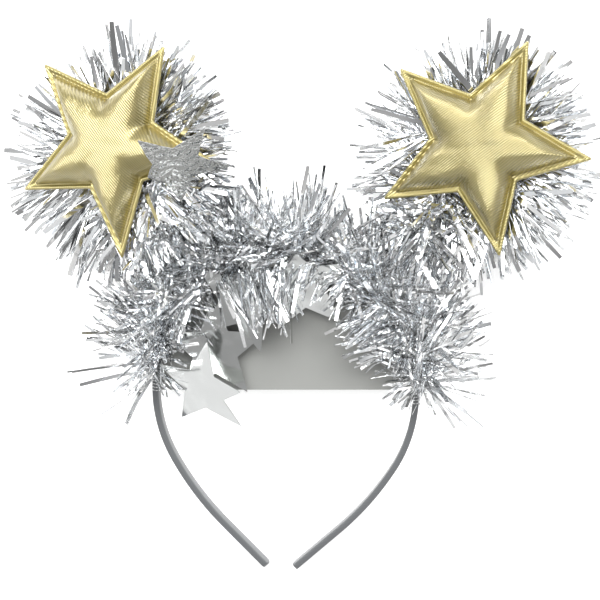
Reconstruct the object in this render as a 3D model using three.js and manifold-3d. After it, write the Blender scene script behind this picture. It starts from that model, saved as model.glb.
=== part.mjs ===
// A new year headband lying face up: a ribbon-covered band with a tinsel garland on its
// crown, two padded stars on tinsel-wrapped stems, foil stars caught in the garland, and
// the plain card that fills the arch.
import * as THREE from 'three';
import { mergeVertices } from 'three/addons/utils/BufferGeometryUtils.js';
import Module from 'manifold-3d';

const wasm = await Module();
wasm.setup();

// Sizes are in millimetres and degrees. The band's own frame has X to the right, Y towards
// the crown and Z out of the front, with its origin at the centre of the crown's arc.
const CLEARANCE = 0.35;
const WELD = 1e-4;

const BAND = {
  crownRadius: 64,
  thickness: 3.2,
  width: 7,
  corner: 0.6,
  tipRound: 3.4,
  tipRows: 4,
  tipTurn: 80,
};

// Half of the band's centreline, from the top of the crown to a tip.
const HALF_BAND = [
  { run: 'crown', radius: BAND.crownRadius, turn: 90, steps: 15 },
  { run: 'side', length: 2.8, steps: 1 },
  { run: 'shoulder', radius: 72, turn: 30, steps: 5 },
  { run: 'leg', radius: 150, turn: 16, steps: 3 },
  { run: 'tip', length: 27, steps: 1 },
];

// How the band lies: its tips are on the surface and the tinsel holds the crown up.
const LAID = { tilt: 6, crownCentreHeight: 13.3 };

const CARD = { thickness: 1, leftEdgeY: -5.3, rightEdgeY: 1.2, arcSteps: 18 };

// The garland's core is the dense part of the tinsel: flatter behind, where it lies.
const GARLAND = {
  coreRadius: 14,
  coreFront: 15,
  coreBack: 9,
  coreOffset: 1.5,
  coreSides: 8,
  reach: 38,
  stations: 22,
  around: 5,
  lean: 14,
  cardAngle: 30,
  turnScatter: 0.25,
  reachScatter: 0.07,
  seed: 7,
};

const LOCK = { root: 8, rootWidth: 7, tipWidth: 3.5, thickness: 2, shortest: 18 };

const STAR = {
  tipRadius: 52.3,
  notchRadius: 24.4,
  rimWidth: 2.7,
  rimThickness: 2,
  back: 1.5,
  puff: 11,
  puffReach: 21,
  edgeSteps: 4,
  padRings: [0.9, 0.74, 0.52, 0.26],
  backRing: 0.5,
  sideRoom: 1,
  headRoom: 2,
};

const STARS = [
  { side: 'left', x: -85, y: 116.5, z: 9, spin: -25.4, yaw: -15.5, seed: 21 },
  { side: 'right', x: 89, y: 122.4, z: 9, spin: -21.6, yaw: -12, seed: 33 },
];

const HUB = { radius: 37, edgeShare: 0.35, waist: 26, waistShare: 0.8, depth: 17, sides: 20 };

const STEM = { radius: 1.5, sides: 8, steps: 8, bend: 0.6 };

// The tinsel wrapped round a stem, with its strips turned by the golden angle from one to the next.
const SLEEVE = {
  startShare: 0.25,
  radius: 9,
  reach: 33,
  reachScatter: 0.1,
  strips: 10,
  firstShare: 0.09,
  lastShare: 0.54,
  turn: 137.5,
  turnScatter: 11,
  lean: 0.35,
  holdFrom: 95,
};

// The fan of tinsel behind a padded star; the garland's strips stop short of it.
const BURST = {
  reach: 61,
  reachScatter: 0.06,
  turnScatter: 0.2,
  dipScatter: 5,
  garlandStop: 84,
  zoneRadius: 68,
  rows: [
    { down: 7, count: 24 },
    { down: 27, count: 14 },
    { down: 50, count: 8 },
  ],
};

const FOIL = { tipRadius: 26.4, notchRadius: 11.6, thickness: 0.5, holdShare: 0.8, stripPast: 4 };

// Each foil star's centre and turn; strip names the stem whose tinsel reaches up to hold it.
const FOIL_STARS = [
  { node: 'foil_star_lower_left', x: -38.5, y: -0.3, z: 13, pitch: 21.5, yaw: -24.5, spin: -7 },
  { node: 'foil_star_on_card', x: -34.5, y: 17.3, z: 4.6, pitch: 0, yaw: 0, spin: 3 },
  { node: 'foil_star_centre', x: -20, y: 43.5, z: 11, pitch: -2, yaw: 2, spin: -16 },
  { node: 'foil_star_centre_right', x: 7.5, y: 52, z: 8, pitch: 12, yaw: 0, spin: 10 },
  { node: 'foil_star_upper_left', x: -50.2, y: 110.5, z: 33, pitch: 38, yaw: 22, spin: -21, strip: 'left' },
];

const FINISH = {
  ribbon: { color: 0x9a9c9c, roughness: 0.6, metalness: 0 },
  tinsel: { color: 0xc8ccd2, roughness: 0.25, metalness: 1 },
  lame: { color: 0xc9b060, roughness: 0.4, metalness: 0.8 },
  foil: { color: 0xd6d9da, roughness: 0.1, metalness: 1 },
  wire: { color: 0xb4b4b4, roughness: 0.4, metalness: 1 },
  card: { color: 0xaaaaa6, roughness: 0.7, metalness: 0 },
};

const { degToRad, lerp } = THREE.MathUtils;
const UP = new THREE.Vector3(0, 0, 1);

// A linear congruential stream, the common 32-bit one.
const STREAM = { factor: 1664525, step: 1013904223, range: 2 ** 32 };

/** A seeded stream of numbers from -1 to 1, for the strips' natural scatter. */
function scatter(seed) {
  let state = seed;
  return () => {
    state = (state * STREAM.factor + STREAM.step) % STREAM.range;
    return (2 * state) / STREAM.range - 1;
  };
}

/** A length shortened by up to twice the given share. */
function scattered(length, share, random) {
  return length * (1 - share + share * random());
}

/** A geometry from points and triangles, turned so that its faces point out. */
function facingOut(points, faces) {
  let volume = 0;
  const cross = new THREE.Vector3();
  for (let i = 0; i < faces.length; i += 3) {
    cross.crossVectors(points[faces[i + 1]], points[faces[i + 2]]);
    volume += points[faces[i]].dot(cross);
  }
  const geometry = new THREE.BufferGeometry().setFromPoints(points);
  geometry.setIndex(volume > 0 ? faces : faces.toReversed());
  return geometry;
}

/** A closed solid through rings of equally many points, each end closed by a fan. */
function loft(rings, fanFromCentre = false) {
  const count = rings[0].length;
  const points = rings.flat();
  const last = points.length - count;
  const faces = [];
  for (let from = 0; from < last; from += count) {
    for (let i = 0; i < count; i += 1) {
      const a = from + i;
      const b = from + ((i + 1) % count);
      faces.push(a, b, b + count, a, b + count, a + count);
    }
  }
  if (fanFromCentre) {
    for (const [start, flip] of [[0, true], [last, false]]) {
      const middle = new THREE.Vector3();
      points.slice(start, start + count).forEach((point) => middle.addScaledVector(point, 1 / count));
      const hub = points.push(middle) - 1;
      for (let i = 0; i < count; i += 1) {
        const pair = [start + i, start + ((i + 1) % count)];
        faces.push(hub, ...(flip ? pair.reverse() : pair));
      }
    }
  } else {
    for (let i = 1; i + 1 < count; i += 1) {
      faces.push(0, i + 1, i, last, last + i, last + i + 1);
    }
  }
  return facingOut(points, faces);
}

/** A solid for joins and cuts, from any closed geometry. */
function solidOf(geometry) {
  const bare = geometry.clone();
  bare.deleteAttribute('normal');
  bare.deleteAttribute('uv');
  const merged = mergeVertices(bare, WELD);
  return new wasm.Manifold(new wasm.Mesh({
    numProp: 3,
    vertProperties: new Float32Array(merged.attributes.position.array),
    triVerts: new Uint32Array(merged.index.array),
  }));
}

/** The largest body of a solid, as a geometry. */
function geometryOf(solid) {
  const bodies = solid.decompose().sort((a, b) => b.volume() - a.volume());
  const mesh = bodies[0].getMesh();
  const geometry = new THREE.BufferGeometry();
  geometry.setAttribute('position', new THREE.BufferAttribute(mesh.vertProperties, 3));
  geometry.setIndex(new THREE.BufferAttribute(mesh.triVerts, 1));
  return geometry;
}

function joined(solids) {
  return solids.reduce((whole, solid) => whole.add(solid));
}

function cut(solid, tools) {
  return tools.reduce((rest, tool) => rest.subtract(tool), solid);
}

/** Rows of the centreline, left tip to right tip, with the heading at each. */
function centreline() {
  const half = [{ x: 0, y: BAND.crownRadius, heading: 0, run: 'crown' }];
  for (const { run, radius, turn, length, steps } of HALF_BAND) {
    for (let i = 0; i < steps; i += 1) {
      const from = half.at(-1);
      const bend = radius ? degToRad(turn / steps) : 0;
      const chord = radius ? 2 * radius * Math.sin(bend / 2) : length / steps;
      const along = from.heading - bend / 2;
      half.push({
        x: from.x + chord * Math.cos(along),
        y: from.y + chord * Math.sin(along),
        heading: from.heading - bend,
        run,
      });
    }
  }
  const mirrored = half.slice(1).reverse().map((row) => ({ ...row, x: -row.x, heading: -row.heading }));
  return [...mirrored, ...half];
}

const ROWS = centreline();

/** The directions along, away from the head, and to the front at a row. */
function axesAt(heading) {
  const along = new THREE.Vector3(Math.cos(heading), Math.sin(heading), 0);
  const outward = new THREE.Vector3(-Math.sin(heading), Math.cos(heading), 0);
  return { along, outward };
}

/** A ring of section points [outward, front] around a row. */
function ringAt(row, section) {
  const { outward } = axesAt(row.heading);
  return section.map(([out, front]) => (
    new THREE.Vector3(row.x, row.y, 0).addScaledVector(outward, out).addScaledVector(UP, front)
  ));
}

/** The band's section, a flat strip with its corners taken off. */
function bandSection(width, grow) {
  const out = BAND.thickness / 2 + grow;
  const front = width / 2 + grow;
  const corner = BAND.corner;
  return [
    [out, corner - front], [out, front - corner], [out - corner, front], [corner - out, front],
    [-out, front - corner], [-out, corner - front], [corner - out, -front], [out - corner, -front],
  ];
}

/** The two rounded tips, as rows that run off an end row while the strip narrows. */
function tipRows(endRow, sign) {
  const { along } = axesAt(endRow.heading);
  const rows = [];
  for (let i = 1; i <= BAND.tipRows; i += 1) {
    const angle = degToRad((BAND.tipTurn * i) / BAND.tipRows);
    const reach = sign * BAND.tipRound * Math.sin(angle);
    const width = BAND.width * Math.cos(angle) + 2 * BAND.corner;
    const row = { ...endRow, x: endRow.x + reach * along.x, y: endRow.y + reach * along.y };
    rows.push(ringAt(row, bandSection(Math.min(width, BAND.width), 0)));
  }
  return rows;
}

function headbandGeometry() {
  const rings = ROWS.map((row) => ringAt(row, bandSection(BAND.width, 0)));
  return loft([...tipRows(ROWS[0], -1).reverse(), ...rings, ...tipRows(ROWS.at(-1), 1)]);
}

/** The card's outline, an arch inside the band with a straight lower edge. */
function cardGeometry(grow) {
  const radius = BAND.crownRadius - BAND.thickness / 2 - CLEARANCE + grow;
  const rightEnd = Math.asin((CARD.rightEdgeY - grow) / radius);
  const arc = Array.from({ length: CARD.arcSteps + 1 }, (_, i) => {
    const angle = lerp(rightEnd, Math.PI, i / CARD.arcSteps);
    return new THREE.Vector2(radius * Math.cos(angle), radius * Math.sin(angle));
  });
  const shape = new THREE.Shape([new THREE.Vector2(-radius, CARD.leftEdgeY - grow), ...arc]);
  const depth = CARD.thickness + 2 * grow;
  return new THREE.ExtrudeGeometry(shape, { depth, bevelEnabled: false }).translate(0, 0, -depth / 2);
}

/** Corners of a five-pointed star, a tip first and then a notch, anticlockwise. */
function starCorners(tipRadius, notchRadius) {
  return Array.from({ length: 10 }, (_, i) => {
    const radius = i % 2 ? notchRadius : tipRadius;
    const angle = Math.PI / 2 + (i * Math.PI) / 5;
    return new THREE.Vector2(radius * Math.cos(angle), radius * Math.sin(angle));
  });
}

/** A flat star plate from height low to height high. */
function starPlate(tipRadius, notchRadius, low, high) {
  const shape = new THREE.Shape(starCorners(tipRadius, notchRadius));
  return new THREE.ExtrudeGeometry(shape, { depth: high - low, bevelEnabled: false }).translate(0, 0, low);
}

/** The distance from a point to the star's outline. */
function distanceToOutline(point, corners) {
  const distances = corners.map((corner, i) => {
    const edge = corners[(i + 1) % corners.length].clone().sub(corner);
    const offset = point.clone().sub(corner);
    const share = THREE.MathUtils.clamp(offset.dot(edge) / edge.lengthSq(), 0, 1);
    return offset.addScaledVector(edge, -share).length();
  });
  return Math.min(...distances);
}

/** The padded star: a flat back, a flat rim, and a front that swells away from the rim. */
function paddedStarGeometry() {
  const corners = starCorners(STAR.tipRadius, STAR.notchRadius);
  const outline = corners.flatMap((corner, i) => {
    const next = corners[(i + 1) % corners.length];
    return Array.from({ length: STAR.edgeSteps }, (_, k) => corner.clone().lerp(next, k / STAR.edgeSteps));
  });
  const edgeDistance = Math.abs(corners[0].cross(corners[1])) / corners[0].distanceTo(corners[1]);
  const shrink = 1 - STAR.rimWidth / edgeDistance;
  const rimTop = STAR.rimThickness - STAR.back;
  const padCorners = corners.map((corner) => corner.clone().multiplyScalar(shrink));
  const ring = (scale, height) => outline.map(({ x, y }) => new THREE.Vector3(x * scale, y * scale, height));
  const swell = (scale) => outline.map((point) => {
    const at = point.clone().multiplyScalar(scale);
    const share = Math.min(distanceToOutline(at, padCorners) / STAR.puffReach, 1);
    return new THREE.Vector3(at.x, at.y, rimTop + STAR.puff * Math.sqrt(1 - (1 - share) ** 2));
  });
  const back = [ring(STAR.backRing, -STAR.back), ring(1, -STAR.back)];
  const rim = [ring(1, rimTop), ring(shrink, rimTop)];
  const pad = STAR.padRings.map((share) => swell(share * shrink));
  return loft([...back, ...rim, ...pad], true);
}

/** Where a turned piece stands in the band's frame. */
function placing({ x, y, z, pitch, yaw, spin }) {
  const turn = new THREE.Euler(degToRad(pitch), degToRad(yaw), degToRad(spin), 'YXZ');
  return new THREE.Matrix4().makeRotationFromEuler(turn).setPosition(x, y, z);
}

/** A padded star lies level on its tinsel, so its pitch undoes the band's tilt. */
function starPlacing(star) {
  return placing({ ...star, pitch: -LAID.tilt });
}

/** The direction in the band's plane from the crown's centre to a star. */
function stemDirection(star) {
  return new THREE.Vector3(star.x, star.y, 0).normalize();
}

/** The wire from the band's outer face to the middle of the hub behind a star. */
function stemCurve(star) {
  const aim = stemDirection(star);
  const start = aim.clone().multiplyScalar(BAND.crownRadius + BAND.thickness / 2 + CLEARANCE);
  const end = new THREE.Vector3(0, 0, -STAR.back - HUB.depth / 2).applyMatrix4(starPlacing(star));
  const bend = start.clone().addScaledVector(aim, STEM.bend * end.distanceTo(start));
  return new THREE.QuadraticBezierCurve3(start, bend, end);
}

/** A round bar along a curve. */
function barAlong(curve, radius, steps) {
  const section = new THREE.Shape();
  for (let i = 0; i < STEM.sides; i += 1) {
    const angle = (2 * Math.PI * i) / STEM.sides;
    section[i ? 'lineTo' : 'moveTo'](radius * Math.cos(angle), radius * Math.sin(angle));
  }
  return new THREE.ExtrudeGeometry(section, { steps, bevelEnabled: false, extrudePath: curve });
}

/** The height of a point of the band's frame above the surface it lies on. */
function heightAbove(point) {
  const tilt = degToRad(LAID.tilt);
  return LAID.crownCentreHeight + point.y * Math.sin(tilt) + point.z * Math.cos(tilt);
}

/** How far a strip may run from its root before it meets the surface. */
function floorLimit(root, aim) {
  const drop = heightAbove(root) - heightAbove(root.clone().add(aim));
  return drop > 0 ? (heightAbove(root) - LOCK.thickness) / drop : Infinity;
}

/** How far a garland strip may run before it meets the tinsel of a stem and star. */
function stemLimit(root, aim) {
  const limits = STARS.map((star) => {
    const axis = stemDirection(star);
    const gain = aim.dot(axis);
    const room = BURST.garlandStop - root.dot(axis);
    const meets = root.clone().addScaledVector(aim, room / gain);
    const aside = meets.addScaledVector(axis, -meets.dot(axis)).length();
    return gain > 0 && aside < BURST.zoneRadius ? room / gain : Infinity;
  });
  return Math.min(...limits);
}

/** One flat strip that tapers from its root to its tip, its width across the given direction. */
function strip(root, aim, length, across) {
  const face = new THREE.Vector3().crossVectors(aim, across).normalize();
  const side = new THREE.Vector3().crossVectors(face, aim);
  const ends = [[LOCK.root, LOCK.rootWidth], [length, LOCK.tipWidth]];
  const corners = [[1, 1], [-1, 1], [-1, -1], [1, -1]];
  return loft(ends.map(([reach, width]) => corners.map(([aside, through]) => (
    root.clone()
      .addScaledVector(aim, reach)
      .addScaledVector(side, (aside * width) / 2)
      .addScaledVector(face, (through * LOCK.thickness) / 2)
  ))));
}

/** Strips standing out all round the garland's core, row after row along the crown. */
function garlandStrips() {
  const random = scatter(GARLAND.seed);
  const strips = [];
  for (let station = 0; station < GARLAND.stations; station += 1) {
    const heading = Math.PI / 2 - (Math.PI * (station + 0.5)) / GARLAND.stations;
    const { along, outward } = axesAt(heading);
    const root = outward.clone().multiplyScalar(BAND.crownRadius + GARLAND.coreOffset);
    for (let k = 0; k < GARLAND.around; k += 1) {
      const turn = (360 / GARLAND.around) * (k + (station % 2) / 2 + GARLAND.turnScatter * random());
      const fromCard = THREE.MathUtils.euclideanModulo(turn, 360) - 180;
      const kept = Math.max(Math.abs(fromCard), GARLAND.cardAngle) * (fromCard < 0 ? -1 : 1) + 180;
      const lean = degToRad(GARLAND.lean * random());
      const aim = outward.clone().multiplyScalar(Math.cos(degToRad(kept)) * Math.cos(lean))
        .addScaledVector(UP, Math.sin(degToRad(kept)) * Math.cos(lean))
        .addScaledVector(along, Math.sin(lean));
      const reach = scattered(GARLAND.reach, GARLAND.reachScatter, random);
      const length = Math.min(reach, floorLimit(root, aim), stemLimit(root, aim));
      if (length > LOCK.shortest) {
        strips.push(strip(root, aim, length, along));
      }
    }
  }
  return strips;
}

/** The garland: a sleeve round the crown and its strips, cut clear of what runs through it. */
function garlandGeometry(foils, stems) {
  const core = Array.from({ length: GARLAND.coreSides }, (_, i) => {
    const angle = (2 * Math.PI * i) / GARLAND.coreSides;
    const depth = Math.sin(angle) > 0 ? GARLAND.coreFront : GARLAND.coreBack;
    return [GARLAND.coreOffset + GARLAND.coreRadius * Math.cos(angle), depth * Math.sin(angle)];
  });
  const crownRows = ROWS.filter((row) => row.run === 'crown').filter((_, i) => i % 2 === 0);
  const sleeve = loft(crownRows.map((row) => ringAt(row, core)));
  const bore = loft(ROWS.map((row) => ringAt(row, bandSection(BAND.width, CLEARANCE))));
  const whole = joined([sleeve, ...garlandStrips()].map(solidOf));
  return geometryOf(cut(whole, [solidOf(bore), solidOf(cardGeometry(CLEARANCE)), ...foils, ...stems]));
}

/** The hub behind a padded star, flat in front and rounded off behind. */
function hubGeometry() {
  const front = -STAR.back - CLEARANCE;
  const profile = [
    [0, front - HUB.depth],
    [HUB.waist, front - HUB.depth * HUB.waistShare],
    [HUB.radius, front - HUB.depth * HUB.edgeShare],
    [HUB.radius, front],
    [0, front],
  ];
  return new THREE.LatheGeometry(profile.map(([r, h]) => new THREE.Vector2(r, h)), HUB.sides)
    .rotateX(Math.PI / 2);
}

/** Strips fanning out behind a star, in rows that dip further and further down. */
function burstStrips(star, random) {
  const place = starPlacing(star);
  const root = new THREE.Vector3(0, 0, -STAR.back - HUB.depth / 2).applyMatrix4(place);
  const strips = [];
  BURST.rows.forEach(({ down, count }, row) => {
    for (let k = 0; k < count; k += 1) {
      const turn = degToRad((360 / count) * (k + row / 2 + BURST.turnScatter * random()));
      const dip = degToRad(down + BURST.dipScatter * random());
      const out = new THREE.Vector3(Math.cos(turn), Math.sin(turn), 0);
      const across = new THREE.Vector3(-out.y, out.x, 0).transformDirection(place);
      const aim = out.multiplyScalar(Math.cos(dip)).addScaledVector(UP, -Math.sin(dip));
      aim.transformDirection(place);
      const length = Math.min(scattered(BURST.reach, BURST.reachScatter, random), floorLimit(root, aim));
      strips.push(strip(root, aim, length, across));
    }
  });
  return strips;
}

/** Strips round the wrapped stem, leaning towards the star. */
function sleeveStrips(star, sleeveLine, random) {
  const strips = [];
  const stemAim = stemDirection(star);
  const side = new THREE.Vector3().crossVectors(stemAim, UP);
  for (let k = 0; k < SLEEVE.strips; k += 1) {
    const share = lerp(SLEEVE.firstShare, SLEEVE.lastShare, k / (SLEEVE.strips - 1));
    const root = sleeveLine.getPoint(share);
    const turn = degToRad(SLEEVE.turn * k + SLEEVE.turnScatter * random());
    const aim = side.clone().multiplyScalar(Math.cos(turn))
      .addScaledVector(UP, Math.sin(turn))
      .addScaledVector(stemAim, SLEEVE.lean)
      .normalize();
    const length = Math.min(scattered(SLEEVE.reach, SLEEVE.reachScatter, random), floorLimit(root, aim));
    if (length > LOCK.shortest) {
      strips.push(strip(root, aim, length, stemAim));
    }
  }
  return strips;
}

/** The strip that holds a foil star, from the stem's axis through the star's nearest tip. */
function holdingStrip(foil, star) {
  const axis = stemDirection(star);
  const tips = starCorners(FOIL.tipRadius * FOIL.holdShare, FOIL.notchRadius).filter((_, i) => i % 2 === 0)
    .map((tip) => new THREE.Vector3(tip.x, tip.y, 0).applyMatrix4(placing(foil)));
  const tip = tips.sort((a, b) => a.dot(axis) - b.dot(axis))[0];
  const root = axis.clone().multiplyScalar(Math.max(tip.dot(axis), SLEEVE.holdFrom));
  const aim = tip.clone().sub(root);
  const length = aim.length() + FOIL.stripPast;
  return strip(root, aim.normalize(), length, axis);
}

/** The tinsel of one star: its wrapped stem, the hub and the strips, in one body. */
function starTinselGeometry(star, foils, stem, curve) {
  const random = scatter(star.seed);
  const place = starPlacing(star);
  const sleeveLine = new THREE.LineCurve3(curve.getPoint(SLEEVE.startShare), curve.getPoint(1));
  const held = FOIL_STARS.filter((foil) => foil.strip === star.side).map((foil) => holdingStrip(foil, star));
  const pieces = [
    hubGeometry().applyMatrix4(place),
    barAlong(sleeveLine, SLEEVE.radius, 1),
    ...burstStrips(star, random),
    ...sleeveStrips(star, sleeveLine, random),
    ...held,
  ];
  const starRoom = starPlate(
    STAR.tipRadius + STAR.sideRoom,
    STAR.notchRadius + STAR.sideRoom,
    -STAR.back - CLEARANCE,
    STAR.puff + STAR.headRoom,
  ).applyMatrix4(place);
  return geometryOf(cut(joined(pieces.map(solidOf)), [solidOf(starRoom), stem, ...foils]));
}

function foilGeometry(grow) {
  const half = FOIL.thickness / 2 + grow;
  return starPlate(FOIL.tipRadius + 2 * grow, FOIL.notchRadius + grow, -half, half);
}

const laid = new THREE.Group();
laid.rotation.x = degToRad(LAID.tilt);

function addPiece(name, geometry, finish, place = new THREE.Matrix4()) {
  const mesh = new THREE.Mesh(geometry, new THREE.MeshStandardMaterial(FINISH[finish]));
  mesh.name = name;
  mesh.applyMatrix4(place);
  laid.add(mesh);
}

const foilSolids = FOIL_STARS.map((foil) => solidOf(foilGeometry(CLEARANCE).applyMatrix4(placing(foil))));
const stemCurves = STARS.map(stemCurve);
const stemSolids = stemCurves.map((curve) => solidOf(barAlong(curve, STEM.radius + CLEARANCE, STEM.steps)));

addPiece('headband', headbandGeometry(), 'ribbon');
addPiece('card', cardGeometry(0), 'card');
addPiece('tinsel_garland', garlandGeometry(foilSolids, stemSolids), 'tinsel');
STARS.forEach((star, i) => {
  const curve = stemCurves[i];
  addPiece(`${star.side}_stem`, barAlong(curve, STEM.radius, STEM.steps), 'wire');
  addPiece(`${star.side}_star_tinsel`, starTinselGeometry(star, foilSolids, stemSolids[i], curve), 'tinsel');
  addPiece(`${star.side}_star`, paddedStarGeometry(), 'lame', starPlacing(star));
});
FOIL_STARS.forEach((foil) => addPiece(foil.node, foilGeometry(0), 'foil', placing(foil)));

// The whole stands on the surface with the middle of its box over the origin.
const group = new THREE.Group();
group.add(laid);
group.updateMatrixWorld(true);
const box = new THREE.Box3().setFromObject(group, true);
const middle = box.getCenter(new THREE.Vector3());
group.position.set(-middle.x, -middle.y, -box.min.z);

export default group;
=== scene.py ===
"""A new year headband on a card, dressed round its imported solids: a ribbon-covered band, tinsel,
padded gold stars, mirror-film stars and a plain card, lying face up on a white surface."""

import math

import bpy
import numpy as np
from bpy.props import FloatProperty, FloatVectorProperty, IntProperty, PointerProperty
from mathutils import Matrix, Vector


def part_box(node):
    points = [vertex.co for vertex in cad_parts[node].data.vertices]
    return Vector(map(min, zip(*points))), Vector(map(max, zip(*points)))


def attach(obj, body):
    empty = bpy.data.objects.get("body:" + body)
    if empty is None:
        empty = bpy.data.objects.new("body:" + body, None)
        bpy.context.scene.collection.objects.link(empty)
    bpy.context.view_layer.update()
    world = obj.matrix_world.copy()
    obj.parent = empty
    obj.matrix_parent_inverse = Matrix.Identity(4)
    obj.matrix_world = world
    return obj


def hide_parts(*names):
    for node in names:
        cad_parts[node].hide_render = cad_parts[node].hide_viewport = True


bl_info = {
    "name": "New Year Headband",
    "version": (1, 0, 0),
    "blender": (4, 5, 0),
    "location": "3D View > Sidebar > Headband",
    "description": "Dresses a tinsel headband with padded stars, film stars and a card",
    "category": "Object",
}

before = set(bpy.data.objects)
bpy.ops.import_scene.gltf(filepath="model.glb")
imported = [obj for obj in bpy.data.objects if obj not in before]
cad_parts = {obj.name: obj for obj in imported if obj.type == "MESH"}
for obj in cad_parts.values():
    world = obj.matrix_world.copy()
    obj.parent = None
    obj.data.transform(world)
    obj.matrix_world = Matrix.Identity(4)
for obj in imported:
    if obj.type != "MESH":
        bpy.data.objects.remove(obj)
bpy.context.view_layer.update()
MM = 0.001
UP = np.array([0.0, 0.0, 1.0])

# The colour sockets of a Mix node, which share their names with its other sockets.
MIX_FACTOR = 0
MIX_A = 6
MIX_B = 7
MIX_RESULT = 2

# How many strips of tinsel cling together, and the draws of the garland and of the first stem.
CLUMP = 4
GARLAND_SEED = 11
FIRST_STEM_SEED = 40

# The sides of a round wire.
WIRE_SIDES = 6

# Half of the band's centreline from the top of the crown to a tip, in millimetres and degrees.
HALF_BAND = [
    {"radius": 64.0, "turn": 90.0},
    {"length": 2.8},
    {"radius": 72.0, "turn": 30.0},
    {"radius": 150.0, "turn": 16.0},
    {"length": 27.0},
]
CROWN = HALF_BAND[0]["radius"] * MM

# Where some clumps of the garland's strips, HANGING_SHARE of them, stand on the front and hang in
# over the card: the stretch of the crown in degrees from its right end, and how much longer those
# strips are, as a share of a strip.
HANGING = [
    {"from": 16, "to": 46, "longer": 0.05},
    {"from": 58, "to": 82, "longer": -0.2},
    {"from": 82, "to": 124, "longer": 0.27},
]
HANGING_SHARE = 0.14

# The stretch beside the foot of the right stem where the garland's outer strips are short.
THIN = {"from": 58, "to": 76, "share": 0.6}

# The tinsel's wire behind a padded star, as a flat coil: its turns, and in millimetres its radius
# and its place behind the star, from the first turn to the last.
COIL = {"turns": 2.3, "radius": (2.5, 29), "depth": (-11, -8.5), "steps": 160}

# The tips of a star that is as it was cut.
STRAIGHT = [(0, 0)] * 5

# Places and turns in the band's own frame, in millimetres and degrees. Ribs gives the way that
# the cloth's ribs run, against the star's own sideways direction, coil how far the tinsel behind
# the star is off its middle, left_share the length of the strips at the left of the stem, seed the
# draw of its wrinkles, and tips how far each tip is pulled outwards and sideways.
PADDED_STARS = [
    {"side": "left", "at": (-85.0, 116.5, 9.0), "pitch": -6.0, "yaw": -15.5, "spin": -25.4, "ribs": -22.0,
     "coil": (-4.0, -9.0), "left_share": 1.0, "seed": 5,
     "tips": [(0.5, -2), (0, 0.5), (0, 0), (2, -1.5), (-1, 2.5)]},
    {"side": "right", "at": (89.0, 122.4, 9.0), "pitch": -6.0, "yaw": -12.0, "spin": -21.6, "ribs": 62.0,
     "coil": (-9.0, -8.0), "left_share": 0.55, "seed": 8, "tips": STRAIGHT},
]

# Curl is how far the film's middle stands off its edge, ripple the height of its small waves, and
# clear how far in front of it no strip of tinsel stands.
FOIL_STARS = [
    {"node": "foil_star_lower_left", "at": (-38.5, -0.3, 13.0), "pitch": 21.5, "yaw": -24.5,
     "spin": -7.0, "curl": 0.3, "ripple": 0.02, "clear": 60.0, "crumpled": False,
     "tips": [(3, -5), (0, 1), (0, 1), (-1, 6.5), (-4.5, -2.5)]},
    {"node": "foil_star_on_card", "at": (-34.5, 17.3, 4.6), "pitch": 0.0, "yaw": 0.0,
     "spin": 3.0, "curl": 0.6, "ripple": 0.05, "clear": 1.2, "crumpled": False, "tips": STRAIGHT},
    {"node": "foil_star_centre", "at": (-20.0, 43.5, 11.0), "pitch": -2.0, "yaw": 2.0,
     "spin": -16.0, "curl": 0.9, "ripple": 0.08, "clear": 1.2, "crumpled": False, "tips": STRAIGHT},
    {"node": "foil_star_centre_right", "at": (7.5, 52.0, 8.0), "pitch": 12.0, "yaw": 0.0,
     "spin": 10.0, "curl": 0.9, "ripple": 0.08, "clear": 1.2, "crumpled": False,
     "tips": [(-10, 0), (0, 0), (0, 0), (0, 0), (0, 0)]},
    {"node": "foil_star_upper_left", "at": (-50.2, 110.5, 33.0), "pitch": 38.0, "yaw": 22.0,
     "spin": -21.0, "curl": 0.8, "ripple": 0.12, "clear": 1.2, "crumpled": True,
     "tips": [(0, -1), (-1, 0), (-12, 0), (0, 0), (0, 0)]},
]


def linear(hex_colour):
    """An sRGB hex colour as linear red, green and blue."""
    channels = [int(hex_colour[i:i + 2], 16) / 255 for i in (0, 2, 4)]
    return tuple(c / 12.92 if c <= 0.04045 else ((c + 0.055) / 1.055) ** 2.4 for c in channels)


def toned(colour, share=1.0):
    """A colour as a node takes it, with its channels times a share, or each times its own."""
    return (*np.multiply(colour, share), 1.0)


class BandSettings(bpy.types.PropertyGroup):
    """The band and how it lies."""

    thickness: FloatProperty(
        name="Thickness", description="Of the band with its ribbon", default=3.2 * MM, unit="LENGTH")
    width: FloatProperty(
        name="Width", description="From the band's front edge to its back edge", default=7 * MM,
        unit="LENGTH")
    tilt: FloatProperty(
        name="Tilt", description="How far the crown is lifted by the tinsel under it",
        default=math.radians(6), subtype="ANGLE")
    tip_reach: FloatProperty(
        name="Tip reach", description="From the crown's centre to the tips, along the surface",
        default=93.482 * MM, unit="LENGTH")
    crown_height: FloatProperty(
        name="Crown height", description="Of the crown's centre above the surface",
        default=13.096 * MM, unit="LENGTH")
    ribbon: FloatVectorProperty(
        name="Ribbon", description="Colour of the satin ribbon", default=linear("5E6062"), subtype="COLOR")
    card: FloatVectorProperty(
        name="Card", description="Colour of the card", default=linear("8D8E8B"), subtype="COLOR")


class TinselSettings(bpy.types.PropertyGroup):
    """The film strips of the garland and of the stems."""

    reach: FloatProperty(
        name="Reach", description="Length of the strips from the wire", default=42 * MM, unit="LENGTH")
    strip_width: FloatProperty(
        name="Strip width", description="Of one film strip", default=1.7 * MM, unit="LENGTH")
    strip_thickness: FloatProperty(
        name="Strip thickness", description="Thicker than the real film, so that it has two sides",
        default=0.12 * MM, unit="LENGTH")
    garland_strips: IntProperty(
        name="Garland strips", description="Strips along the crown", default=4300)
    star_strips: IntProperty(
        name="Star strips", description="Strips round one stem and behind its star", default=2600)
    film: FloatVectorProperty(
        name="Film", description="Colour of the bright film", default=linear("ECEDEE"), subtype="COLOR")


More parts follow.
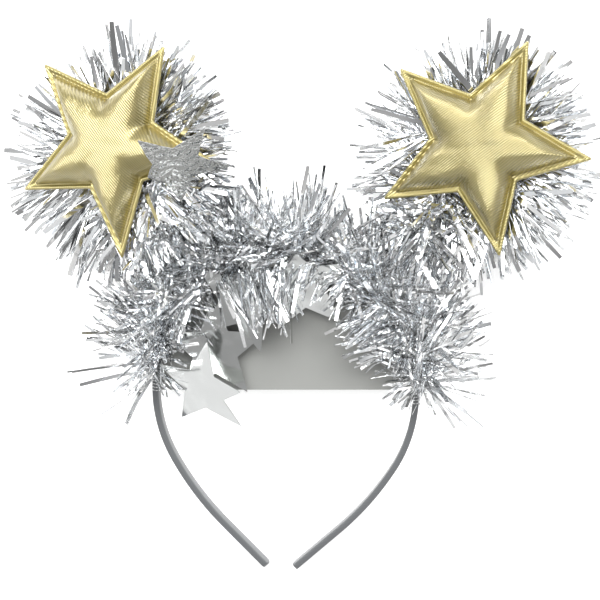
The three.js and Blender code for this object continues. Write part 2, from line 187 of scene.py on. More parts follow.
class StarSettings(bpy.types.PropertyGroup):
    """The padded stars and the film stars."""

    tip_radius: FloatProperty(
        name="Tip radius", description="Of a padded star", default=52.3 * MM, unit="LENGTH")
    notch_radius: FloatProperty(
        name="Notch radius", description="Of a padded star", default=24.4 * MM, unit="LENGTH")
    rim: FloatProperty(
        name="Rim", description="Width of the flat sewn rim", default=2.7 * MM, unit="LENGTH")
    puff: FloatProperty(
        name="Puff", description="Height of the wadding over the rim", default=11 * MM, unit="LENGTH")
    rib_pitch: FloatProperty(
        name="Rib pitch", description="From one rib of the cloth to the next", default=1.0 * MM,
        unit="LENGTH")
    gold: FloatVectorProperty(
        name="Gold", description="Colour of the gold cloth", default=linear("9A8F53"), subtype="COLOR")
    foil_tip_radius: FloatProperty(
        name="Film star tip radius", description="Of a film star", default=26.4 * MM, unit="LENGTH")
    foil_notch_radius: FloatProperty(
        name="Film star notch radius", description="Of a film star", default=11.6 * MM, unit="LENGTH")
    foil_thickness: FloatProperty(
        name="Film star thickness", description="Of the stiff mirror film", default=0.3 * MM, unit="LENGTH")
    mirror: FloatVectorProperty(
        name="Mirror", description="Colour of the mirror film", default=linear("EEF0EF"), subtype="COLOR")
    # The crumpled film's much darker colour is painted shade: the crumpled film is the same mirror film as
    # the smooth stars.
    crumpled: FloatVectorProperty(
        name="Crumpled", description="Colour of the dull, crumpled film", default=linear("A4A5A3"),
        subtype="COLOR")


class StageSettings(bpy.types.PropertyGroup):
    """The camera, the surface and the light."""

    eye: FloatVectorProperty(
        name="Eye", description="Where the camera stands", default=(0.08196, 0.0814, 0.85433), subtype="XYZ")
    aim: FloatVectorProperty(
        name="Aim", description="What the camera looks at", default=(0.0015, 0.0002, 0.01759), subtype="XYZ")
    lean: FloatProperty(
        name="Lean", description="How far the picture's up leans to the left of +Y",
        default=math.radians(2.1), subtype="ANGLE")
    lens: FloatProperty(
        name="Lens", description="Focal length on a 36 mm sensor", default=104.55, unit="CAMERA")
    surface: FloatVectorProperty(
        name="Surface", description="Colour of the white surface", default=linear("F4F4F4"), subtype="COLOR")
    surface_glow: FloatProperty(
        name="Surface glow", description="Light of its own, as from a lit table", default=0.55)
    sky: FloatProperty(
        name="Surroundings", description="Brightness of the white walls all round", default=0.85)
    overhead: FloatProperty(
        name="Overhead", description="Brightness of the dark ceiling over the camera", default=0.38)
    key: FloatProperty(
        name="Key light", description="Power of the lamp beyond the crown", default=21.0, unit="POWER")


class HeadbandSettings(bpy.types.PropertyGroup):
    """All that a user may change."""

    band: PointerProperty(type=BandSettings)
    tinsel: PointerProperty(type=TinselSettings)
    stars: PointerProperty(type=StarSettings)
    stage: PointerProperty(type=StageSettings)


def add_node(tree, kind, inputs=None, **settings):
    """Adds a node with its settings; an input is a value or the socket that feeds it."""
    node = tree.nodes.new(kind)
    for name, value in settings.items():
        setattr(node, name, value)
    for name, value in (inputs or {}).items():
        if isinstance(value, bpy.types.NodeSocket):
            tree.links.new(value, node.inputs[name])
        else:
            node.inputs[name].default_value = value
    return node


def new_material(name):
    """An empty node material."""
    material = bpy.data.materials.new(name)
    material.use_nodes = True
    material.node_tree.nodes.clear()
    return material, material.node_tree


def wave_scale(pitch):
    """The Wave Texture scale that puts its bands the given distance apart."""
    apart_at_one = 2 * math.pi / 20
    return apart_at_one / pitch


def satin_ribbon(settings):
    """Polyester satin ribbon wound on a plastic band: a soft sheen, with the fine slanting lines
    of the weave, with painted shade between the threads and a painted sheen along them."""
    material, tree = new_material("satin_ribbon")
    # The threads are about 0.3 mm apart and are drawn at 0.8 mm so that they show.
    thread_pitch = 0.8 * MM
    place = add_node(tree, "ShaderNodeUVMap", uv_map="wrap")
    turned = add_node(tree, "ShaderNodeMapping", {
        "Vector": place.outputs["UV"], "Rotation": (0, 0, math.radians(38))})
    weave = add_node(tree, "ShaderNodeTexWave", {
        "Vector": turned.outputs["Vector"], "Scale": wave_scale(thread_pitch),
        "Distortion": 1.2, "Detail": 2.0}, wave_type="BANDS", bands_direction="X")
    wear = add_node(tree, "ShaderNodeTexNoise", {
        "Vector": place.outputs["UV"], "Scale": 1 / (9 * MM), "Detail": 3.0})
    # Painted shade between the threads and a painted sheen along them: the weave darkens the ribbon to 0.72
    # and lightens it to 1.14.
    threads = add_node(tree, "ShaderNodeMix", {
        MIX_FACTOR: weave.outputs["Fac"], MIX_A: toned(settings.ribbon, 0.72),
        MIX_B: toned(settings.ribbon, 1.14)}, data_type="RGBA")
    colour = add_node(tree, "ShaderNodeMix", {
        MIX_FACTOR: wear.outputs["Fac"], MIX_A: threads.outputs[MIX_RESULT],
        MIX_B: toned(settings.ribbon)}, data_type="RGBA")
    bump = add_node(tree, "ShaderNodeBump", {
        "Height": weave.outputs["Fac"], "Strength": 0.5, "Distance": 0.12 * MM})
    shader = add_node(tree, "ShaderNodeBsdfPrincipled", {
        "Base Color": colour.outputs[MIX_RESULT], "Roughness": 0.42, "IOR": 1.5,
        "Sheen Weight": 0.25, "Sheen Roughness": 0.4, "Normal": bump.outputs["Normal"]})
    add_node(tree, "ShaderNodeOutputMaterial", {"Surface": shader.outputs["BSDF"]})
    return material


def grey_card(settings):
    """Uncoated grey card: matt, with a faint mottle and grain of pressed fibre."""
    material, tree = new_material("grey_card")
    place = add_node(tree, "ShaderNodeTexCoord")
    mottle = add_node(tree, "ShaderNodeTexNoise", {
        "Vector": place.outputs["Object"], "Scale": 1 / (22 * MM), "Detail": 4.0})
    fibre = add_node(tree, "ShaderNodeTexNoise", {
        "Vector": place.outputs["Object"], "Scale": 1 / (0.9 * MM), "Detail": 2.0})
    tone = add_node(tree, "ShaderNodeMix", {
        MIX_FACTOR: mottle.outputs["Fac"], MIX_A: toned(settings.card, 0.93),
        MIX_B: toned(settings.card, 1.07)}, data_type="RGBA")
    bump = add_node(tree, "ShaderNodeBump", {
        "Height": fibre.outputs["Fac"], "Strength": 0.25, "Distance": 0.1 * MM})
    shader = add_node(tree, "ShaderNodeBsdfPrincipled", {
        "Base Color": tone.outputs[MIX_RESULT], "Roughness": 0.7, "IOR": 1.45,
        "Normal": bump.outputs["Normal"]})
    add_node(tree, "ShaderNodeOutputMaterial", {"Surface": shader.outputs["BSDF"]})
    return material


def metallised_film(settings):
    """Vacuum-metallised polyester film cut in strips: each strip is a small mirror, a little warm
    or blue from one to the next, and faintly creased from being cut and twisted. A quarter of the
    strips are duller, by more or less."""
    material, tree = new_material("metallised_film")
    tint = add_node(tree, "ShaderNodeAttribute", attribute_name="tint")
    spread = add_node(tree, "ShaderNodeValToRGB", {"Fac": tint.outputs["Fac"]})
    stops = spread.color_ramp.elements
    stops[0].color = toned(settings.film, 0.42)
    stops[1].color = toned(settings.film, (0.97, 0.985, 1.0))
    clean = stops.new(0.25)
    clean.color = toned(settings.film, (1.0, 0.99, 0.975))
    place = add_node(tree, "ShaderNodeTexCoord")
    crease = add_node(tree, "ShaderNodeTexNoise", {
        "Vector": place.outputs["Object"], "Scale": 1 / (3 * MM), "Detail": 1.0})
    bump = add_node(tree, "ShaderNodeBump", {
        "Height": crease.outputs["Fac"], "Strength": 0.1, "Distance": 0.3 * MM})
    shader = add_node(tree, "ShaderNodeBsdfPrincipled", {
        "Base Color": spread.outputs["Color"], "Metallic": 1.0, "Roughness": 0.12,
        "Normal": bump.outputs["Normal"]})
    add_node(tree, "ShaderNodeOutputMaterial", {"Surface": shader.outputs["BSDF"]})
    return material


def mirror_film(name, colour, wave_length, wave_height):
    """Stiff mirror film punched into stars: a clear reflection that waves in the film, long and
    soft or short and crumpled, pull out of shape."""
    material, tree = new_material(name)
    place = add_node(tree, "ShaderNodeTexCoord")
    waves = add_node(tree, "ShaderNodeTexNoise", {
        "Vector": place.outputs["Object"], "Scale": 1 / wave_length, "Detail": 1.5})
    bump = add_node(tree, "ShaderNodeBump", {
        "Height": waves.outputs["Fac"], "Strength": 0.6, "Distance": wave_height})
    shader = add_node(tree, "ShaderNodeBsdfPrincipled", {
        "Base Color": toned(colour), "Metallic": 1.0, "Roughness": 0.14,
        "Normal": bump.outputs["Normal"]})
    add_node(tree, "ShaderNodeOutputMaterial", {"Surface": shader.outputs["BSDF"]})
    return material


def gold_lame(settings, side, rib_angle):
    """Gold lame: film-wrapped yarn woven in fine ribs, so its shine spreads across the ribs, goes
    cream where it faces the light and bronze in the folds; the turned rim is smoother. The ribs'
    colour holds painted shade in their valleys and a painted highlight on their crests, and the
    rim is lighter and yellower, partly its own tone and partly a painted highlight."""
    material, tree = new_material(f"gold_lame_{side}")
    place = add_node(tree, "ShaderNodeTexCoord")
    turned = add_node(tree, "ShaderNodeMapping", {
        "Vector": place.outputs["Object"], "Rotation": (0, 0, math.radians(-rib_angle))})
    ribs = add_node(tree, "ShaderNodeTexWave", {
        "Vector": turned.outputs["Vector"], "Scale": wave_scale(settings.rib_pitch),
        "Distortion": 0.7, "Detail": 1.0, "Detail Scale": 0.4}, wave_type="BANDS", bands_direction="Y")
    slub = add_node(tree, "ShaderNodeTexNoise", {
        "Vector": turned.outputs["Vector"], "Scale": 1 / (6 * MM), "Detail": 3.0})
    rim = add_node(tree, "ShaderNodeAttribute", attribute_name="rim")
    gold = settings.gold
    # Painted shade in the rib valleys and a painted highlight on the crests: the ribs darken the gold to
    # 0.62 and lighten it to 1.15.
    rib_shade_and_highlight = add_node(tree, "ShaderNodeMix", {
        MIX_FACTOR: ribs.outputs["Fac"], MIX_A: toned(gold, 0.62), MIX_B: toned(gold, 1.15)},
        data_type="RGBA")
    tone = add_node(tree, "ShaderNodeMix", {
        MIX_FACTOR: slub.outputs["Fac"], MIX_A: rib_shade_and_highlight.outputs[MIX_RESULT],
        MIX_B: toned(gold, (0.95, 0.9, 0.75))}, data_type="RGBA")
    # Along the rolled rim the gold is lighter and yellower, with no rib lines: partly the smoother cloth's
    # own tone, partly a painted highlight on the rolled edge.
    rim_tone_and_highlight = add_node(tree, "ShaderNodeMix", {
        MIX_FACTOR: rim.outputs["Fac"], MIX_A: tone.outputs[MIX_RESULT],
        MIX_B: toned(gold, (1.05, 1.02, 0.8))}, data_type="RGBA")
    crinkle = add_node(tree, "ShaderNodeTexNoise", {
        "Vector": turned.outputs["Vector"], "Scale": 1 / (2.6 * MM), "Detail": 2.0})
    creased = add_node(tree, "ShaderNodeBump", {
        "Height": crinkle.outputs["Fac"], "Strength": 0.5, "Distance": 0.6 * MM})
    bump = add_node(tree, "ShaderNodeBump", {
        "Height": ribs.outputs["Fac"], "Strength": 0.75, "Distance": 0.2 * MM,
        "Normal": creased.outputs["Normal"]})
    shader = add_node(tree, "ShaderNodeBsdfPrincipled", {
        "Base Color": rim_tone_and_highlight.outputs[MIX_RESULT], "Metallic": 0.95, "Roughness": 0.35,
        "Coat Weight": 1.0, "Coat Roughness": 0.22, "Coat IOR": 1.9, "Normal": bump.outputs["Normal"],
        "Coat Normal": bump.outputs["Normal"]})
    add_node(tree, "ShaderNodeOutputMaterial", {"Surface": shader.outputs["BSDF"]})
    return material


def drawn_wire():
    """Drawn steel wire: dull bright metal with fine lines along it."""
    material, tree = new_material("drawn_wire")
    place = add_node(tree, "ShaderNodeTexCoord")
    lines = add_node(tree, "ShaderNodeTexNoise", {
        "Vector": place.outputs["Object"], "Scale": 1 / (0.6 * MM), "Detail": 2.0})
    tone = add_node(tree, "ShaderNodeMix", {
        MIX_FACTOR: lines.outputs["Fac"], MIX_A: toned(linear("A9ABAD")), MIX_B: toned(linear("D2D4D6"))},
        data_type="RGBA")
    shader = add_node(tree, "ShaderNodeBsdfPrincipled", {
        "Base Color": tone.outputs[MIX_RESULT], "Metallic": 1.0, "Roughness": 0.38})
    add_node(tree, "ShaderNodeOutputMaterial", {"Surface": shader.outputs["BSDF"]})
    return material


def white_table(settings):
    """A lit white table: matt and near white, with a little light of its own."""
    material, tree = new_material("white_table")
    place = add_node(tree, "ShaderNodeTexCoord")
    grain = add_node(tree, "ShaderNodeTexNoise", {
        "Vector": place.outputs["Object"], "Scale": 1 / (60 * MM), "Detail": 2.0})
    tone = add_node(tree, "ShaderNodeMix", {
        MIX_FACTOR: grain.outputs["Fac"], MIX_A: toned(settings.surface),
        MIX_B: toned(settings.surface, 0.985)}, data_type="RGBA")
    shader = add_node(tree, "ShaderNodeBsdfPrincipled", {
        "Base Color": tone.outputs[MIX_RESULT], "Roughness": 0.8, "Emission Color": (1, 1, 1, 1),
        "Emission Strength": settings.surface_glow})
    add_node(tree, "ShaderNodeOutputMaterial", {"Surface": shader.outputs["BSDF"]})
    return material


def laid_matrix(band):
    """From the band's own frame, with its origin at the crown's centre, to the frame of the part."""
    low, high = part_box("headband")
    origin = Vector(((low[0] + high[0]) / 2, low[1] + band.tip_reach, low[2] + band.crown_height))
    return Matrix.Translation(origin) @ Matrix.Rotation(band.tilt, 4, "X")


def placing(band, piece):
    """Where a turned star stands in the frame of the part."""
    turn = Matrix.Rotation(math.radians(piece["yaw"]), 4, "Y")
    turn = turn @ Matrix.Rotation(math.radians(piece["pitch"]), 4, "X")
    turn = turn @ Matrix.Rotation(math.radians(piece["spin"]), 4, "Z")
    return laid_matrix(band) @ Matrix.Translation(Vector(piece["at"]) * MM) @ turn


def moved(points, matrix):
    """Points through a matrix."""
    m = np.array(matrix)
    return points @ m[:3, :3].T + m[:3, 3]


def unit(vectors):
    """Vectors of length one."""
    return vectors / np.linalg.norm(vectors, axis=-1, keepdims=True)


def run_along(points):
    """How far along a line of points each of them is."""
    return np.concatenate([[0], np.cumsum(np.linalg.norm(np.diff(points, axis=0), axis=1))])


def band_rows(step):
    """Points and headings of the band's centreline, left tip to right tip, in metres."""
    rows = [(0.0, HALF_BAND[0]["radius"], 0.0)]
    for run in HALF_BAND:
        length = run.get("length") or run["radius"] * math.radians(run["turn"])
        count = max(2, round(length / step))
        bend = math.radians(run.get("turn", 0.0)) / count
        chord = 2 * run["radius"] * math.sin(bend / 2) if bend else length / count
        for _ in range(count):
            x, y, heading = rows[-1]
            along = heading - bend / 2
            rows.append((x + chord * math.cos(along), y + chord * math.sin(along), heading - bend))
    mirrored = [(-x, y, -heading) for x, y, heading in rows[:0:-1]]
    table = np.array(mirrored + rows)
    return table[:, :2] * MM, table[:, 2]


def mesh_object(name, points, faces, material, sharp=math.radians(35)):
    """A smooth-shaded mesh object that keeps the edges sharper than the given angle."""
    mesh = bpy.data.meshes.new(name)
    mesh.from_pydata([tuple(p) for p in points], [], [tuple(int(i) for i in f) for f in faces])
    mesh.polygons.foreach_set("use_smooth", np.ones(len(mesh.polygons), dtype=bool))
    mesh.set_sharp_from_angle(angle=sharp)
    mesh.materials.append(material)
    mesh.validate()
    made = bpy.data.objects.new(name, mesh)
    bpy.context.collection.objects.link(made)
    return made


def set_values(mesh, name, values):
    """One number for each point of a mesh, for its material."""
    layer = mesh.attributes.new(name, "FLOAT", "POINT")
    layer.data.foreach_set("value", np.asarray(values, dtype=np.float32))


def tube_faces(rows, around, closed_ends=True):
    """Faces of a tube of rows of points, each row running anticlockwise seen from its far end."""
    k, c = np.meshgrid(np.arange(rows - 1), np.arange(around), indexing="ij")
    nxt = (c + 1) % around
    this, following = k * around, (k + 1) * around
    quads = np.stack([this + c, this + nxt, following + nxt, following + c], axis=-1)
    faces = quads.reshape(-1, 4).tolist()
    if closed_ends:
        faces.append(list(range(around - 1, -1, -1)))
        faces.append(list(range((rows - 1) * around, rows * around)))
    return faces


def closed_rings(rings):
    """Points and faces of a skin over rings of points, closed by a point amid each end ring."""
    around = len(rings[0])
    points = np.concatenate(rings)
    faces = tube_faces(len(rings), around, closed_ends=False)
    first, last = len(points), len(points) + 1
    points = np.vstack([points, rings[0].mean(axis=0), rings[-1].mean(axis=0)])
    base = (len(rings) - 1) * around
    for i in range(around):
        faces.append([first, (i + 1) % around, i])
        faces.append([last, base + i, base + (i + 1) % around])
    return points, faces


def tube_along(path, radius):
    """Points and faces of a round wire along a path."""
    steep = 0.9
    tangents = unit(np.gradient(path, axis=0))
    helper = np.where(np.abs(tangents[:, 2:]) > steep, np.array([1.0, 0.0, 0.0]), UP)
    across = unit(np.cross(helper, tangents))
    over = np.cross(tangents, across)
    angles = np.linspace(0, 2 * math.pi, WIRE_SIDES, endpoint=False)
    ring = np.cos(angles)[None, :, None] * across[:, None] + np.sin(angles)[None, :, None] * over[:, None]
    return (path[:, None] + radius * ring).reshape(-1, 3), tube_faces(len(path), WIRE_SIDES)


def band_section(thickness, width, corner, steps):
    """The band's section as outward and front distances, a strip with rounded corners."""
    points = []
    for start, out, front in ((0, 1, 1), (1, -1, 1), (2, -1, -1), (3, 1, -1)):
        for i in range(steps + 1):
            angle = (start + i / steps) * math.pi / 2
            points.append((
                out * (thickness / 2 - corner) + corner * math.cos(angle),
                front * (width / 2 - corner) + corner * math.sin(angle)))
    return np.array(points)


def build_band(settings):
    """The ribbon-covered band, finer than its solid, with its wrap laid out for the weave."""
    band = settings.band
    row_step = 1.5
    centre, headings = band_rows(row_step)
    tip_round = 3.4 * MM
    tip_turn = math.radians(86)
    tip_blunt = 1.2 * MM
    corner = 0.75 * MM
    steps = 9
    ends = []
    for row, sign in ((0, -1), (-1, 1)):
        along = np.array([math.cos(headings[row]), math.sin(headings[row])])
        turns = [tip_turn * (i + 1) / steps for i in range(steps)]
        reach = sign * tip_round * along
        ends.append([(centre[row] + reach * math.sin(a), headings[row], math.cos(a)) for a in turns])
    body = [(c, h, 1.0) for c, h in zip(centre, headings)]
    rows = ends[0][::-1] + body + ends[1]
    rings = []
    for point, heading, share in rows:
        width = min(band.width, band.width * share + tip_blunt)
        section = band_section(band.thickness, width, corner, steps=4)
        outward = np.array([-math.sin(heading), math.cos(heading), 0.0])
        rings.append(np.append(point, 0.0) + section[:, :1] * outward + section[:, 1:] * UP)
    rings = np.array(rings)
    around = rings.shape[1]
    points = moved(rings.reshape(-1, 3), laid_matrix(band))
    # Along a row from left to right the section runs clockwise, so its faces are turned round.
    faces = [face[::-1] for face in tube_faces(len(rings), around)]
    made = mesh_object("satin_headband", points, faces, satin_ribbon(band), sharp=math.radians(50))
    lengths = run_along(rings[:, 0])
    girth = run_along(rings[len(rings) // 2])
    layer = made.data.uv_layers.new(name="wrap")
    corners = np.empty(len(made.data.loops), dtype=np.int32)
    made.data.loops.foreach_get("vertex_index", corners)
    wrap = np.stack([lengths[corners // around], girth[corners % around]], axis=-1)
    layer.data.foreach_set("uv", wrap.astype(np.float32).ravel())
    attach(made, "root")
    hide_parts("headband")


def star_edge(angle, tip, notch):
    """The radius of a five-pointed star's outline at an angle from a tip."""
    fifth = 2 * math.pi / 5
    folded = np.abs((angle + fifth / 2) % fifth - fifth / 2)
    half = fifth / 2
    return tip * notch * math.sin(half) / (notch * np.sin(half - folded) + tip * np.sin(folded))


def inside_star(points, star):
    """Which points lie in a star-shaped plate with some room round it."""
    local = moved(points, star["inverse"])
    flat = local[..., :2] - star["slant"] * np.maximum(local[..., 2:], 0)
    angle = np.arctan2(-flat[..., 0], flat[..., 1])
    within = np.hypot(flat[..., 0], flat[..., 1]) < star_edge(angle, star["tip"], star["notch"])
    return within & (local[..., 2] > star["low"]) & (local[..., 2] < star["high"])


def star_room(settings, star, tip, notch, low, high):
    """The room that tinsel leaves free at a star, slanted to where it is looked at from."""
    inverse = placing(settings.band, star).inverted()
    view = inverse @ Vector(settings.stage.eye)
    slant = np.array([view.x / view.z, view.y / view.z])
    return {"inverse": inverse, "slant": slant, "tip": tip, "notch": notch, "low": low, "high": high}


def keep_outs(settings):
    """The star-shaped rooms that tinsel stays out of: the padded stars and the film stars."""
    stars = settings.stars
    padded = {"tip": stars.tip_radius + 1.5 * MM, "notch": stars.notch_radius + 1 * MM,
              "low": -3 * MM, "high": 60 * MM}
    film = {"tip": stars.foil_tip_radius + 1 * MM, "notch": stars.foil_notch_radius + 0.5 * MM,
            "low": -1.2 * MM}
    rooms = [star_room(settings, star, **padded) for star in PADDED_STARS]
    rooms += [star_room(settings, star, **film, high=star["clear"] * MM) for star in FOIL_STARS]
    return rooms


def in_card(points, band):
    """Which points lie in the card or too close to it."""
    arch = 63 * MM
    room = 1.2 * MM
    foot = -7 * MM
    local = moved(points, laid_matrix(band).inverted())
    within = np.hypot(local[..., 0], local[..., 1]) < arch
    return within & (np.abs(local[..., 2]) < room) & (local[..., 1] > foot)


def blocked_points(settings, points):
    """Which points lie where tinsel can't: in a star's room, in the card or under the surface."""
    lowest = 0.4 * MM
    blocked = in_card(points, settings.band) | (points[..., 2] < lowest)
    for room in keep_outs(settings):
        blocked |= inside_star(points, room)
    return blocked


def free_lengths(settings, roots, aims, lengths):
    """How far each strip can run before it meets a star, the card or the surface."""
    shares = np.linspace(0.1, 1.0, 19)
    held_back = 0.06
    samples = roots[:, None] + aims[:, None] * (lengths[:, None] * shares)[..., None]
    blocked = blocked_points(settings, samples)
    first = np.where(blocked.any(axis=1), shares[np.argmax(blocked, axis=1)] - held_back, 1.0)
    return lengths * first


def strip_mesh(settings, rng, roots, aims, lengths, breadth):
    """Points, faces and tints of film strips that run out from their roots, bent and twisted."""
    tinsel = settings.tinsel
    count = len(roots)
    taper = np.array([0.8, 1.0, 1.0, 1.0, 0.85])
    segments = len(taper) - 1
    shortest = 9 * MM
    lowest = 0.25 * MM
    shares = np.linspace(0, 1, segments + 1)
    side = unit(np.cross(aims, rng.normal(size=(count, 3))))
    bend_way = unit(np.cross(aims, rng.normal(size=(count, 3))))
    bend = rng.normal(0, 0.05, count) * lengths
    drop = rng.uniform(0.0, 0.05, count) * lengths
    curve = bend_way * bend[:, None] - UP * drop[:, None]
    centres = (roots[:, None] + aims[:, None] * (lengths[:, None] * shares)[..., None]
               + curve[:, None] * (shares ** 2)[None, :, None])
    clear = (lengths > shortest) & ~blocked_points(settings, centres[:, 1:]).any(axis=1)
    centres, aims, lengths, curve, side = (part[clear] for part in (centres, aims, lengths, curve, side))
    count = len(centres)
    tangents = unit(aims[:, None] * lengths[:, None, None] + 2 * curve[:, None] * shares[None, :, None])
    across = unit(side[:, None] - tangents * np.sum(side[:, None] * tangents, axis=-1, keepdims=True))
    over = np.cross(tangents, across)
    twist = rng.normal(0, 0.5, (count, 1)) * shares + rng.normal(0, 0.06, (count, segments + 1))
    flat = across * np.cos(twist)[..., None] + over * np.sin(twist)[..., None]
    face = np.cross(tangents, flat)
    widths = breadth * tinsel.strip_width * rng.uniform(0.4, 1.4, count)
    half_width = (widths[:, None] * taper / 2)[..., None]
    half_depth = tinsel.strip_thickness / 2
    corners = np.stack([
        centres + flat * half_width + face * half_depth,
        centres - flat * half_width + face * half_depth,
        centres - flat * half_width - face * half_depth,
        centres + flat * half_width - face * half_depth], axis=2)
    points = corners.reshape(-1, 3)
    points[:, 2] = np.maximum(points[:, 2], lowest)
    one = np.array(tube_faces(segments + 1, 4))
    faces = (one[None] + (np.arange(count) * 4 * (segments + 1))[:, None, None]).reshape(-1, 4)
    tints = np.repeat(rng.uniform(0, 1, count), 4 * (segments + 1))
    return points, faces, tints


def tinsel_piece(name, node, strips, wires, material):
    """One length of tinsel: its strips and the wire that they are twisted into."""
    points, faces, tints = strips
    parts = [points]
    all_faces = faces.tolist()
    offset = len(points)
    for wire_points, wire_faces in wires:
        parts.append(wire_points)
        all_faces += [[i + offset for i in face] for face in wire_faces]
        offset += len(wire_points)
    made = mesh_object(name, np.concatenate(parts), all_faces, material, sharp=math.radians(40))
    extra = np.full(offset - len(points), 0.5)
    set_values(made.data, "tint", np.concatenate([tints, extra]))
    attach(made, "root")
    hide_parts(node)


def winding(settings, sign, turns):
    """The tinsel's wire where it is wound round the band at an end of the garland."""
    band = settings.band
    pitch = 1.6 * MM
    top = 2 * MM
    off = 0.3 * MM
    wire = 0.35 * MM
    angles = np.linspace(0, 2 * math.pi * turns, 24 * turns)
    out = (band.thickness / 2 + off) * np.cos(angles)
    front = (band.width / 2 + off) * np.sin(angles)
    path = np.stack([sign * (CROWN + out), top - pitch * angles / (2 * math.pi), front], axis=-1)
    return tube_along(moved(path, laid_matrix(band)), wire)


def clumped(values, rng, size, spread):
    """Values that come in clumps: each run of the given size shares one, give or take a little."""
    shared = np.repeat(values[::size], size)[:len(values)]
    return shared + rng.normal(0, spread, len(values))


def directions(out, over, along, turn, lean):
    """Directions turned round a wire, from out towards over, and leaned along it."""
    return (out * (np.cos(turn) * np.cos(lean))[:, None] + over * (np.sin(turn) * np.cos(lean))[:, None]
            + along * np.sin(lean)[:, None])


def build_garland(settings, material):
    """The tinsel along the crown: strips all round the band, kept off the card."""
    rng = np.random.default_rng(GARLAND_SEED)
    count = settings.tinsel.garland_strips
    place = clumped(rng.uniform(0.01, 0.99, count) * math.pi, rng, CLUMP, math.radians(1.5))
    outward = np.stack([np.cos(place), np.sin(place), np.zeros(count)], axis=-1)
    along = np.stack([-np.sin(place), np.cos(place), np.zeros(count)], axis=-1)
    degrees = np.degrees(place)
    over_card = np.zeros(count, dtype=bool)
    longer = np.zeros(count)
    for stretch in HANGING:
        within = (degrees > stretch["from"]) & (degrees < stretch["to"])
        over_card |= within
        longer[within] = stretch["longer"]
    hung = np.repeat(rng.random(-(-count // CLUMP)) < HANGING_SHARE, CLUMP)[:count] & over_card
    # Round the wire, 0 points out of the crown, 90 to the front and 180 in over the card.
    hung_turns, other_turns = (122, 172), (-110, 158)
    turn = np.where(hung, rng.uniform(*hung_turns, count), rng.uniform(*other_turns, count))
    turn = clumped(np.radians(turn), rng, CLUMP, math.radians(5))
    lean = clumped(rng.normal(0, math.radians(22), count), rng, CLUMP, math.radians(5))
    # Strips on the front have been pressed flat in the bag, so they lean far along the band.
    hung_lean, front_lean = 0.6, 1.3
    most_lean = math.radians(62)
    lean = lean * np.where(hung, hung_lean, 1 + front_lean * np.maximum(np.sin(turn), 0))
    lean = np.clip(lean, -most_lean, most_lean)
    # At the ends of the garland the strips lean up, away from the bare legs.
    end_lean = math.radians(32)
    lean = lean + end_lean * np.cos(place) * np.abs(np.cos(place))
    aims = directions(outward, UP, along, turn, lean)
    # The wire winds round the band, so the strips cross over each other.
    wound = rng.uniform(-1, 1, count) * math.radians(130)
    off = rng.uniform(2.5, 6.5, count) * MM
    out = np.where(hung, rng.uniform(-6, 2, count) * MM, off * np.cos(wound))
    front = np.where(hung, rng.uniform(7, 12, count) * MM, off * np.sin(wound))
    roots = outward * (CROWN + out)[:, None] + UP * front[:, None]
    lengths = settings.tinsel.reach * rng.triangular(0.6, 0.92, 1.0, count)
    # Strips that point inwards are short. Those that don't hang are shortest at the sides.
    inwards = np.cos(turn) < 0
    top_longer = 0.08
    inner = rng.uniform(0.4, 0.7, count) + np.where(hung, longer, top_longer * np.sin(place) ** 2)
    lengths = lengths * np.where(inwards, inner, 1)
    thin = (degrees > THIN["from"]) & (degrees < THIN["to"]) & ~inwards
    lengths = lengths * np.where(thin, THIN["share"], 1)
    laid = laid_matrix(settings.band)
    roots = moved(roots, laid)
    aims = aims @ np.array(laid)[:3, :3].T
    lengths = free_lengths(settings, roots, aims, lengths)
    strips = strip_mesh(settings, rng, roots, aims, lengths, breadth=0.95)
    wires = [winding(settings, sign, turns=5) for sign in (-1, 1)]
    tinsel_piece("garland_tinsel", "tinsel_garland", strips, wires, material)


def stem_path(settings, star, count):
    """The stem's curve from the band to behind its star, as the solid wire runs."""
    band = settings.band
    place = np.array(star["at"]) * MM
    aim = place * np.array([1, 1, 0])
    aim = aim / np.linalg.norm(aim)
    foot_gap = 0.35 * MM
    behind = 10 * MM
    start = aim * (CROWN + band.thickness / 2 + foot_gap)
    back = placing(settings.band, star) @ Vector((0, 0, -behind))
    end = np.array(laid_matrix(band).inverted() @ back)
    middle = start + aim * 0.6 * np.linalg.norm(end - start)
    t = np.linspace(0, 1, count)[:, None]
    return moved((1 - t) ** 2 * start + 2 * t * (1 - t) * middle + t ** 2 * end, laid_matrix(band))


